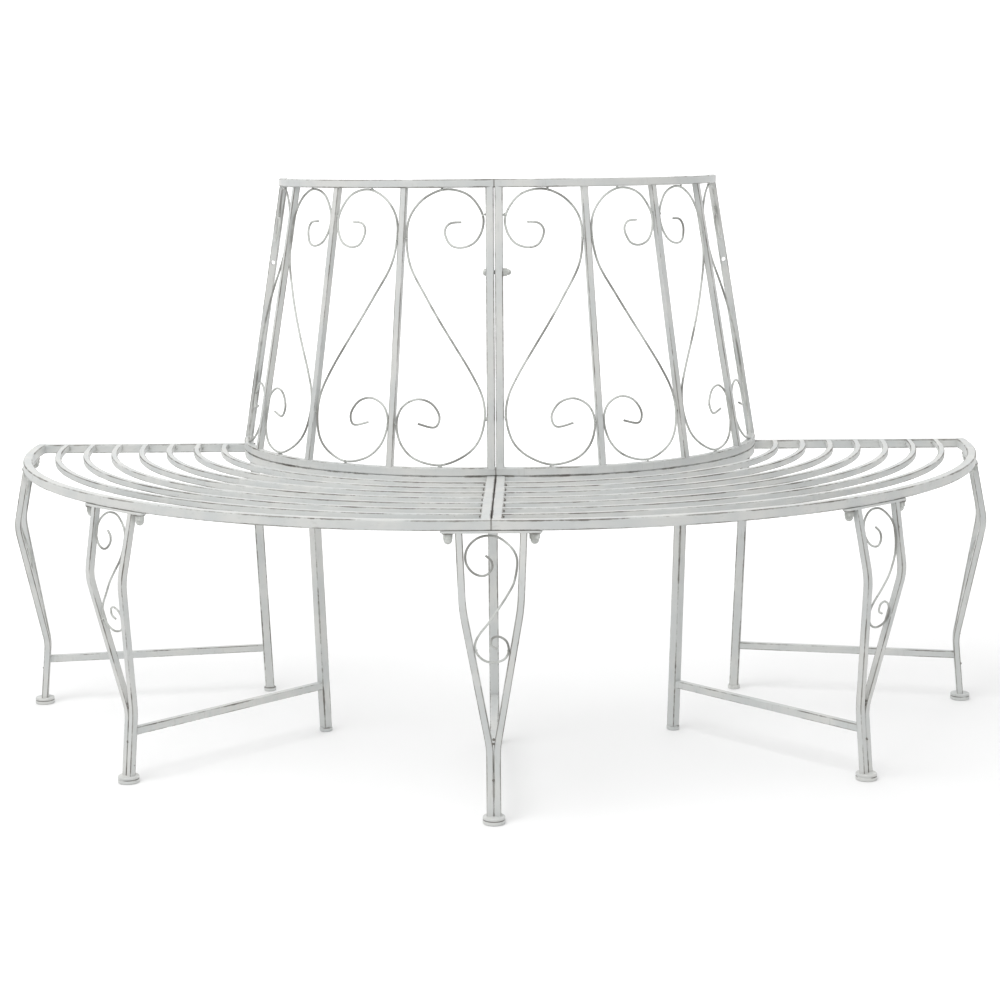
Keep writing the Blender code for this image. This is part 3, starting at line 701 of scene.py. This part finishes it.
FASTENER_PAINT = fastener_paint("fastener_paint")
bolt_y = back_point(seam_angle(BOLT_HEIGHT, BOLT_FACE - BACK_TUBE / 2), BOLT_HEIGHT, 1).y
bolt_place = Matrix.Translation((0, bolt_y, BOLT_HEIGHT)) @ Matrix.Rotation(pi / 2, 4, "Y")
head = [(radius, -BOLT_FACE - distance) for radius, distance in HEAD_PROFILE]
shank = [(SHANK_RADIUS, -BOLT_FACE), (SHANK_RADIUS, SHANK_END), (0, SHANK_END)]
show("seam_bolt_head_and_shank", turned(head + shank, bolt_place), FASTENER_PAINT, "seam_bolt")
washer = [(0, BOLT_FACE), (NUT_WASHER, BOLT_FACE), (NUT_WASHER, NUT_BOTTOM), (0, NUT_BOTTOM)]
nut = joined(turned(washer, bolt_place),
             hexagon(NUT_FLATS, NUT_BOTTOM, NUT_TOP, bolt_place),
             turned(dome(DOME_RADIUS, DOME_BOTTOM, DOME_HEIGHT), bolt_place))
show("seam_dome_nut", nut, FASTENER_PAINT, "seam_nut")


# ---- Front legs --------------------------------------------------------------------------------
# Two 10 mm bars bent out at the knee and welded side by side lower down, a 3 mm plate under the
# rim that takes two studs, and a turned foot with a groove round it.
LEG_BAR = 0.010
LEG_CORNER = 0.0013
PLATE_TOP = SEAT_TOP - SEAT_TUBE
PLATE_THICKNESS = 0.0033
PLATE_LENGTH = 0.140
PLATE_WIDTH = 0.015
# half spread of the two bars, reach past the rim, height
LEG_PATH = [(0.0445, -0.0055, 0.4165), (0.0400, 0.0148, 0.315), (0.0052, -0.0225, 0.107),
            (0.0052, -0.0127, 0.006)]
BEND_RADIUS = 0.080
LEG_WELD_HEIGHTS = (0.120, 0.114, 0.062)
LEG_WELD_SINK = 0.0004                    # of a bead into the groove between the bars
GROOVE_HEIGHT = 0.0062
FOOT_PROFILE = [(0, 0), (0.0148, 0), (0.0158, 0.0008), (0.0160, 0.0020), (0.0160, 0.0052),
                (0.0155, 0.0058), (0.0150, GROOVE_HEIGHT), (0.0155, 0.0066), (0.0159, 0.0072),
                (0.0158, 0.0098), (0.0150, 0.0106), (0.0100, 0.0110), (0, 0.0110)]
# each frame's name, its place on the rim and its back post's place, measured from the flat side
LEG_FRAMES = [("far_left", (-0.7946, -0.1105), (-0.4207, -0.0352)),
              ("left", (-0.5596, -0.5734), (-0.2930, -0.3002)),
              ("centre", (0.0, -0.7745), (-0.0055, -0.3835)),
              ("right", (0.5596, -0.5734), (0.2930, -0.3002)),
              ("far_right", (0.7946, -0.1105), (0.4207, -0.0352))]


def rounded(path, radius, steps=8):
    """The path with each inner corner eased into a bend."""
    result = [path[0]]
    for before, corner, after in zip(path, path[1:], path[2:]):
        into = (before - corner).normalized()
        out = (after - corner).normalized()
        half = into.angle(out) / 2
        reach = radius * cos(half) / sin(half)
        start = corner + into * reach
        end = corner + out * reach
        for i in range(steps + 1):
            t = i / steps
            result.append(start * (1 - t) ** 2 + corner * 2 * t * (1 - t) + end * t ** 2)
    return result + [path[-1]]


def placed(outward, rim_point):
    """Turns (outward, sideways, height), measured from the rim, into the bench's own frame."""
    return Matrix(((outward.x, -outward.y, 0, rim_point[0]),
                   (outward.y, outward.x, 0, rim_point[1] + REAR),
                   (0, 0, 1, 0), (0, 0, 0, 1)))


def leg_place(rim_point):
    """The front leg stands square to the rim's arc; at the seam that is straight to the front."""
    x, y = rim_point
    if x == 0:
        return placed(Vector((0, -1)), rim_point)
    centre = Vector((RIM_CENTRE[0] if x > 0 else -RIM_CENTRE[0], RIM_CENTRE[1] - REAR))
    return placed((Vector((x, y)) - centre).normalized(), rim_point)


def frame_place(rim_point, post_point):
    """The back post and the stretcher lie on the line from the rim point to the post."""
    return placed((Vector(rim_point) - Vector(post_point)).normalized(), rim_point)


def leg_path(sign):
    corners = [Vector((out, sign * spread, height)) for spread, out, height in LEG_PATH]
    return rounded(corners, BEND_RADIUS)


def leg_reach(height):
    """The middle of a bar at a height: x is how far past the rim it is, and y the half spread."""
    path = leg_path(1)
    for high, low in zip(path, path[1:]):
        if low.z <= height <= high.z:
            return low.lerp(high, (height - low.z) / (high.z - low.z))
    return path[0]


def plate_mesh(length, width, bottom, top, centre, place):
    """A flat strip with round ends and softened edges."""
    bm = bmesh.new()
    edge = 0.0005
    rings = []
    for inset, height in ((edge, bottom), (0, bottom + edge), (0, top - edge), (edge, top)):
        radius = width / 2 - inset
        ring = []
        for end in (1, -1):
            for i in range(13):
                angle = end * pi / 2 - pi / 2 + pi * i / 12
                along = end * (length - width) / 2 + radius * sin(angle)
                ring.append(bm.verts.new((centre + radius * cos(angle), along, height)))
        rings.append(ring)
    skin(bm, rings)
    return finished_mesh(bm, "plate", place)


def foot_groove_dark(place):
    """1 in parts of the groove round each foot, which are painted dark."""
    groove = 1 - (place.axis(2) - GROOVE_HEIGHT).math("ABSOLUTE").step(0.0004, 0.0012)
    return groove * noise(place, 45, 2).step(0.42, 0.55)


LEG_PAINT = rubbed_tube_paint("leg_bar_paint", (1, 1, 0.2), 1.3, foot_groove_dark)
leg_welds = []
for name, rim_point, _ in LEG_FRAMES:
    place = leg_place(rim_point)
    sideways = place.to_3x3() @ Vector((0, 1, 0))
    for height in LEG_WELD_HEIGHTS:
        front_face = leg_reach(height).x + LEG_BAR / 2
        leg_welds.append(place @ Vector((front_face - LEG_WELD_SINK, 0, height)))
    leg = TubeWork()
    for sign in (-1, 1):
        leg.tube([place @ point for point in leg_path(sign)], LEG_BAR, sideways, LEG_CORNER)
    leg.add_mesh(plate_mesh(PLATE_LENGTH, PLATE_WIDTH, PLATE_TOP - PLATE_THICKNESS, PLATE_TOP,
                            -SEAT_TUBE / 2, place))
    foot_centre = place @ Vector((LEG_PATH[-1][1], 0, 0))
    leg.add_mesh(turned(FOOT_PROFILE, Matrix.Translation(foot_centre), 40))
    leg.finish(f"front_leg_{name}_bars", LEG_PAINT, f"front_leg_{name}")


# ---- Back posts --------------------------------------------------------------------------------
# A 15 mm square post under the inner rim, leaning in as it goes down, with a short plate welded on
# top and a small turned glide at the ground.
POST_LEAN = 0.016
POST_BOTTOM = 0.004                       # inside the glide
POST_TOP = PLATE_TOP - 0.001              # inside its plate
POST_PLATE_LENGTH = 0.046
POST_PLATE_WIDTH = 0.0146
GLIDE_PROFILE = [(0, 0), (0.0094, 0), (0.0103, 0.0008), (0.0105, 0.0050), (0.0098, 0.0066),
                 (0, 0.0068)]
for name, rim_point, post_point in LEG_FRAMES:
    place = frame_place(rim_point, post_point)
    distance = (Vector(rim_point) - Vector(post_point)).length
    post = TubeWork()
    foot = -distance - POST_LEAN
    ends = [place @ Vector((foot, 0, POST_BOTTOM)), place @ Vector((-distance, 0, POST_TOP))]
    post.tube(ends, SEAT_TUBE, place.to_3x3() @ Vector((0, 1, 0)))
    post.add_mesh(plate_mesh(POST_PLATE_LENGTH, POST_PLATE_WIDTH, PLATE_TOP - PLATE_THICKNESS,
                             PLATE_TOP, -distance, place))
    post.add_mesh(turned(GLIDE_PROFILE, place @ Matrix.Translation((foot, 0, 0))))
    post.finish(f"back_post_{name}_tube", LEG_PAINT, f"back_post_{name}")


# ---- Stretchers --------------------------------------------------------------------------------
# A level 12 mm square tube from each back post to the welded pair of bars in front.
STRETCHER = 0.012
STRETCHER_HEIGHT = 0.077
for name, rim_point, post_point in LEG_FRAMES:
    place = frame_place(rim_point, post_point)
    distance = (Vector(rim_point) - Vector(post_point)).length
    rail = TubeWork()
    ends = (-distance - POST_LEAN, leg_reach(STRETCHER_HEIGHT).x)
    rail.tube([place @ Vector((x, 0, STRETCHER_HEIGHT)) for x in ends], STRETCHER, UP)
    rail.finish(f"stretcher_{name}_tube", LEG_PAINT, f"stretcher_{name}")


# ---- Leg scrolls -------------------------------------------------------------------------------
# A long S of 3.2 mm wire between each pair of front bars, following their bend. All five are
# rolled the same way round.
LEG_WIRE = 0.0016                         # radius
LEG_WIRE_STEP = 0.0025                    # along the wire
WELD_REACH = 0.0006                       # a wire that comes this near to a bar is welded to it
# sideways from the leg's middle line, and height
LEG_SCROLL = [(-0.008, 0.3845), (0.000, 0.3770), (0.001, 0.3675), (-0.006, 0.3590),
              (-0.016, 0.3575), (-0.027, 0.3630), (-0.0345, 0.3745), (-0.0350, 0.3880),
              (-0.029, 0.3995), (-0.018, 0.4080), (-0.005, 0.4110), (0.010, 0.4085),
              (0.025, 0.3975), (0.0335, 0.3850), (0.0350, 0.3705), (0.0305, 0.3480),
              (0.021, 0.3305), (0.0085, 0.3115), (-0.0045, 0.2925), (-0.017, 0.2760),
              (-0.0230, 0.2630), (-0.0220, 0.2500), (-0.0130, 0.2385), (0.0005, 0.2343),
              (0.0155, 0.2385), (0.0240, 0.2500), (0.0200, 0.2650), (0.0095, 0.2725),
              (0.0000, 0.2695), (-0.0010, 0.2590), (0.0070, 0.2545)]
leg_touches = []
for name, rim_point, _ in LEG_FRAMES:
    place = leg_place(rim_point)
    points = []
    for across, height in LEG_SCROLL:
        bar = leg_reach(height)
        room = bar.y - LEG_BAR / 2 - LEG_WIRE
        across = min(max(across, -room), room)
        points.append(place @ Vector((bar.x, across, height)))
        if room - abs(across) < WELD_REACH:
            to_bar = LEG_WIRE if across > 0 else -LEG_WIRE
            leg_touches.append(place @ Vector((bar.x, across + to_bar, height)))
    mesh = WIRE.make(path_mesh(points), {"Radius": LEG_WIRE, "Spacing": LEG_WIRE_STEP,
                                         "Material": WIRE_PAINT})
    show(f"leg_scroll_{name}_wire", mesh, WIRE_PAINT, f"leg_scroll_{name}")


# ---- Cap nuts ----------------------------------------------------------------------------------
# Two 13 mm dome nuts with washers under each front plate, on studs that run up into the rim.
NUT_SPREAD = 0.0594
NUT_SIZE = 0.0128                         # across the flats


def nut_tree():
    """Nuts that hang from the points: washer, hexagon one unit across, neck and round end."""
    shape = ShapeTree("cap_nuts")
    spots = Value(shape.inputs.outputs["Shape"])
    size = shape.input("Size")
    seed = shape.input("Seed", "Int")
    material = shape.input("Material", "Material")
    ball = shape.node("GeometryNodeMeshUVSphere", None,
                      {"Segments": 28, "Rings": 16, "Radius": 0.46})
    parts = []
    # sides, radius, depth and the height of the middle, of the washer, the hexagon and the neck
    for sides, radius, depth, middle in ((28, 0.66, 0.10, -0.05), (6, 0.577, 0.56, -0.38),
                                         (28, 0.46, 0.20, -0.72)):
        part = shape.node("GeometryNodeMeshCylinder", None,
                          {"Vertices": sides, "Radius": radius, "Depth": depth})
        parts.append(shape.node("GeometryNodeTransform", None,
                                {"Geometry": part, "Translation": (0, 0, middle)}))
    parts.append(shape.node("GeometryNodeTransform", None,
                            {"Geometry": ball, "Translation": (0, 0, -0.80)}))
    join = shape.tree.nodes.new("GeometryNodeJoinGeometry")
    for part in parts:
        shape.tree.links.new(part.output, join.inputs[0])
    nut_part = shape.node("GeometryNodeSetShadeSmooth", None, {"Geometry": Value(join.outputs[0])})
    turn = shape.node("FunctionNodeRandomValue", {"data_type": "FLOAT_VECTOR"},
                      {0: (0, 0, 0), 1: (0, 0, pi), "Seed": seed})
    nuts = shape.node("GeometryNodeInstanceOnPoints", None,
                      {"Points": spots, "Instance": nut_part, "Rotation": turn, "Scale": size})
    shape.finish(nuts, material)
    return shape


NUTS = nut_tree()
seed = 0
for name, rim_point, _ in LEG_FRAMES:
    for sign, end in ((-1, "a"), (1, "b")):
        under_plate = Vector((-SEAT_TUBE / 2, sign * NUT_SPREAD, PLATE_TOP - PLATE_THICKNESS))
        spot = leg_place(rim_point) @ under_plate
        mesh = NUTS.make(path_mesh([spot]), {"Size": NUT_SIZE, "Seed": seed,
                                             "Material": FASTENER_PAINT})
        show(f"cap_nut_{name}_{end}_dome", mesh, FASTENER_PAINT, f"cap_nut_{name}_{end}")
        seed += 1


# ---- Weld beads --------------------------------------------------------------------------------
# Small lumps of weld where a scroll touches its frame, where each slat and backrest bar ends, and
# where a leg's two bars meet. They are left rough, so the paint is rubbed off them. The dark beads
# at the seam rail are also painted shade, for the gaps at the slats' ends.
SEAM_WELD_DEPTH = 0.0034                  # below the seat's top
RAIL_WELD_DEPTH = 0.006                   # the same
WELD_OFF_SEAM_RAIL = 0.0002


def weld_paint(name, low, high):
    """Paint on rough weld. It goes from paint to bare steel as the noise goes from low to high."""
    material, tree, shader = new_material(name)
    place = add_node(tree, "ShaderNodeTexCoord", out=3)
    worn = noise(place, 330, 4, 0.7).step(low, high)
    connect(tree, shader, "Base Color", (worn * 0.8).blend(WIRE_PAINT_LIGHT, BARE_STEEL_AND_SHADE))
    connect(tree, shader, "Roughness", 0.5 + worn * 0.2)
    add_bump(tree, shader, noise(place, 500, 3), 0.5, 0.0005)
    return material


def bead_tree():
    shape = ShapeTree("weld_beads")
    spots = Value(shape.inputs.outputs["Shape"])
    size = shape.input("Size")
    seed = shape.input("Seed", "Int")
    material = shape.input("Material", "Material")
    bead = shape.node("GeometryNodeMeshIcoSphere", None, {"Radius": 1.0, "Subdivisions": 2})
    bead = shape.node("GeometryNodeSetShadeSmooth", None, {"Geometry": bead})
    stretch = shape.node("FunctionNodeRandomValue", {"data_type": "FLOAT_VECTOR"},
                         {0: (0.7, 0.7, 0.7), 1: (1.3, 1.3, 1.5), "Seed": seed})
    stretch = shape.node("ShaderNodeVectorMath", {"operation": "SCALE"},
                         {0: stretch, "Scale": size})
    turn = shape.node("FunctionNodeRandomValue", {"data_type": "FLOAT_VECTOR"},
                      {0: (0, 0, 0), 1: (pi, pi, pi), "Seed": seed + 7})
    beads = shape.node("GeometryNodeInstanceOnPoints", None,
                       {"Points": spots, "Instance": bead, "Rotation": turn, "Scale": stretch})
    shape.finish(beads, material)
    return shape


def beads_around(points, count, spread, seed):
    """A few bead places scattered about each point."""
    scatter = random.Random(seed)
    return [point + Vector([scatter.uniform(-spread, spread) for axis in range(3)])
            for point in points for i in range(count)]


seam_weld_shade_spots = []     # dark, at both sides of each slat's end at the seam: painted shade in the gaps
rail_welds = []     # brushed over, at the straight rail and at the ends of the backrest's bars
seam_side = SEAM_GAP + SEAT_TUBE
for sign in (-1, 1):
    for number in range(SLAT_COUNT):
        radius = FIRST_SLAT + SLAT_PITCH * number
        front = arc_start(SLAT_CENTRE, radius, seam_side)
        rear = arc_end(SLAT_CENTRE, radius, REAR - SEAT_TUBE)
        x = SLAT_CENTRE[0] + radius * sin(rear)
        for edge in (-SLAT_WIDTH / 2, SLAT_WIDTH / 2):
            seam_weld_shade_spots.append(Vector((sign * (seam_side + WELD_OFF_SEAM_RAIL),
                                      REAR - radius * cos(front) + edge,
                                      SEAT_TOP - SEAM_WELD_DEPTH)))
            rail_welds.append(Vector((sign * (x + edge), REAR - SEAT_TUBE,
                                      SEAT_TOP - RAIL_WELD_DEPTH)))
    for number in range(len(BAR_ANGLES)):
        for height in (LOW_RAIL_TOP, HIGH_RAIL_BOTTOM):
            rail_welds.append(back_point(bar_angle(number, height), height, sign))

BEADS = bead_tree()
brushed_weld = weld_paint("brushed_weld_paint", 0.50, 0.66)
# dark beads; those at the seam rail are painted shade for the gaps at the slats' ends
burnt_weld_and_seam_shade = weld_paint("burnt_weld_paint", 0.20, 0.42)
for name, points, count, spread, size, paint, slot in (
        ("scroll_weld_beads", back_touches + leg_touches, 4, 0.0022, 0.0016, brushed_weld,
         "wire_paint"),
        ("rail_weld_beads", rail_welds, 3, 0.0022, 0.0018, brushed_weld, "frame_paint"),
        ("seam_shade_weld_beads", seam_weld_shade_spots, 1, 0.0003, 0.0021, burnt_weld_and_seam_shade, "frame_paint"),
        ("leg_weld_beads", leg_welds, 2, 0.0008, 0.0018, burnt_weld_and_seam_shade, "frame_paint")):
    spots = bpy.data.meshes.new("spots")
    spots.from_pydata(beads_around(points, count, spread, 4), [], [])
    mesh = BEADS.make(spots, {"Size": size, "Seed": 3, "Material": paint})
    show(name, mesh, paint)


# ---- Floor, light and camera -------------------------------------------------------------------
# A plain pale studio sweep, two large soft lights and an even surround, and a camera in front of
# the bench, a little above the backrest's top and looking slightly down.
SWEEP_FRONT = -8.0
SWEEP_BACK = 5.0                          # where it starts to curve up
SWEEP_BEND = 2.0
SWEEP_HEIGHT = 8.0
SWEEP_HALF_WIDTH = 12.0


def studio_sweep():
    """A pale floor that curves up into a wall behind the bench."""
    bm = bmesh.new()
    line = [(SWEEP_FRONT, 0.0), (SWEEP_BACK, 0.0)]
    for i in range(1, 17):
        angle = pi / 2 * i / 16
        line.append((SWEEP_BACK + SWEEP_BEND * sin(angle), SWEEP_BEND * (1 - cos(angle))))
    line.append((SWEEP_BACK + SWEEP_BEND, SWEEP_HEIGHT))
    rows = [[bm.verts.new((x, y, z)) for x in (-SWEEP_HALF_WIDTH, SWEEP_HALF_WIDTH)]
            for y, z in line]
    for low, high in zip(rows, rows[1:]):
        bm.faces.new((low[0], low[1], high[1], high[0]))
    mesh = bpy.data.meshes.new("studio_sweep")
    bm.to_mesh(mesh)
    bm.free()
    mesh.shade_smooth()
    material, tree, shader = new_material("studio_white")
    shader.inputs["Base Color"].default_value = (0.93, 0.93, 0.93, 1)
    # the sweep glows a little behind the bench, so that it stays white to its top
    depth = add_node(tree, "ShaderNodeTexCoord", out=3).axis(1)
    glow = depth.step(0.2, 3.5).blend((0, 0, 0, 1), (1, 1, 1, 1))
    connect(tree, shader, "Emission Color", glow)
    shader.inputs["Emission Strength"].default_value = 0.45
    shader.inputs["Roughness"].default_value = 0.9
    shader.inputs["Specular IOR Level"].default_value = 0.1
    mesh.materials.append(material)
    sweep = add_object("studio_sweep", mesh)


def soft_light(name, place, target, size, power):
    light = bpy.data.lights.new(name, "AREA")
    light.shape = "SQUARE"
    light.size = size
    light.energy = power
    lamp = add_object(name, light)
    lamp.location = place
    lamp.rotation_euler = (Vector(target) - Vector(place)).to_track_quat("-Z", "Y").to_euler()


studio_sweep()
soft_light("key", (-1.3, -1.6, 4.2), (0, 0, 0.3), 3.0, 100)
soft_light("fill", (3.0, -2.5, 2.5), (0, 0, 0.4), 3.0, 4)
world = bpy.data.worlds.new("surround")
world.use_nodes = True
background = world.node_tree.nodes["Background"]
background.inputs["Color"].default_value = (1, 1, 1, 1)
background.inputs["Strength"].default_value = 0.72
bpy.context.scene.world = world
bpy.context.scene.view_settings.view_transform = "Standard"

camera_data = bpy.data.cameras.new("camera")
camera_data.lens = 74.74
camera_data.sensor_width = 36.0
camera = add_object("camera", camera_data)
# radians: turned a little to the left, tilted down, and rolled
turn = (Matrix.Rotation(0.0165, 4, "Z") @ Matrix.Rotation(pi / 2 - 0.1683, 4, "X")
        @ Matrix.Rotation(-0.0089, 4, "Z"))
camera.matrix_world = Matrix.Translation((0.0583, REAR - 3.552, 0.933)) @ turn
bpy.context.scene.camera = camera
